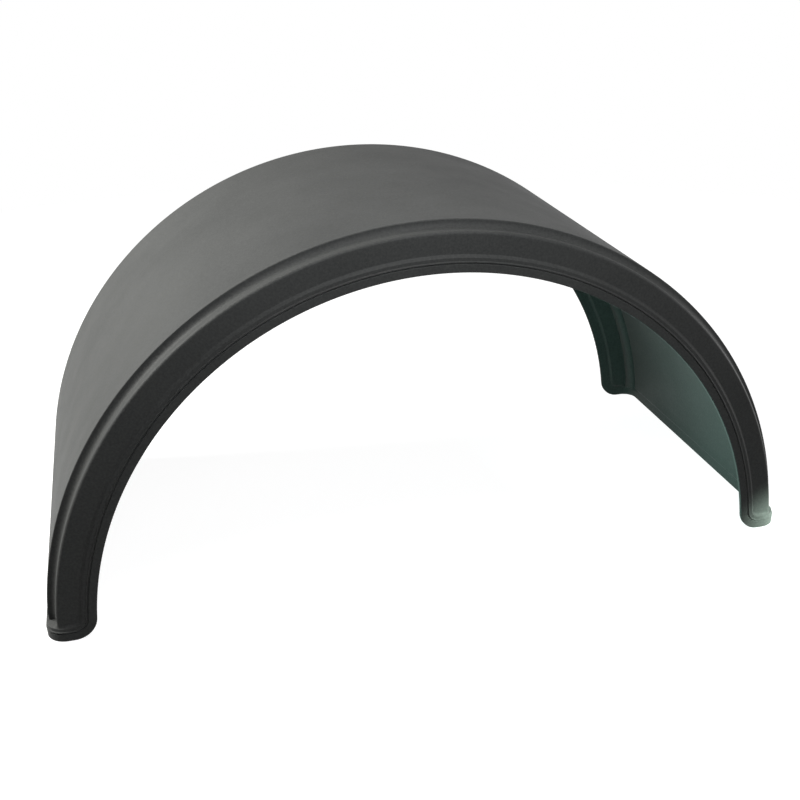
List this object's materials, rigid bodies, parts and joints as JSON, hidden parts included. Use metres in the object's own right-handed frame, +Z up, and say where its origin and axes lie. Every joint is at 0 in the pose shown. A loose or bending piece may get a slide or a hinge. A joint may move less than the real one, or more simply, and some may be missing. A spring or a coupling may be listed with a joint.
{
  "type": "mudguard",
  "caption": "Arched plastic mudguard with a wide flat tread, stepped shoulders, shallow sides and a beaded rim that runs round the sides and ends.",
  "frame": {"origin": "at floor level under the middle of the arch, where the two ends stand", "axes": "+Z up, X along the vehicle from end to end, Y across the tread; the side that the picture shows nearest is at -Y"},
  "size_m": [0.8026, 0.411, 0.3819],
  "materials": {
    "mudguard": "fine matte grain"
  },
  "bodies": {
    "root": {"mudguard": "mudguard"}
  },
  "joints": []
}
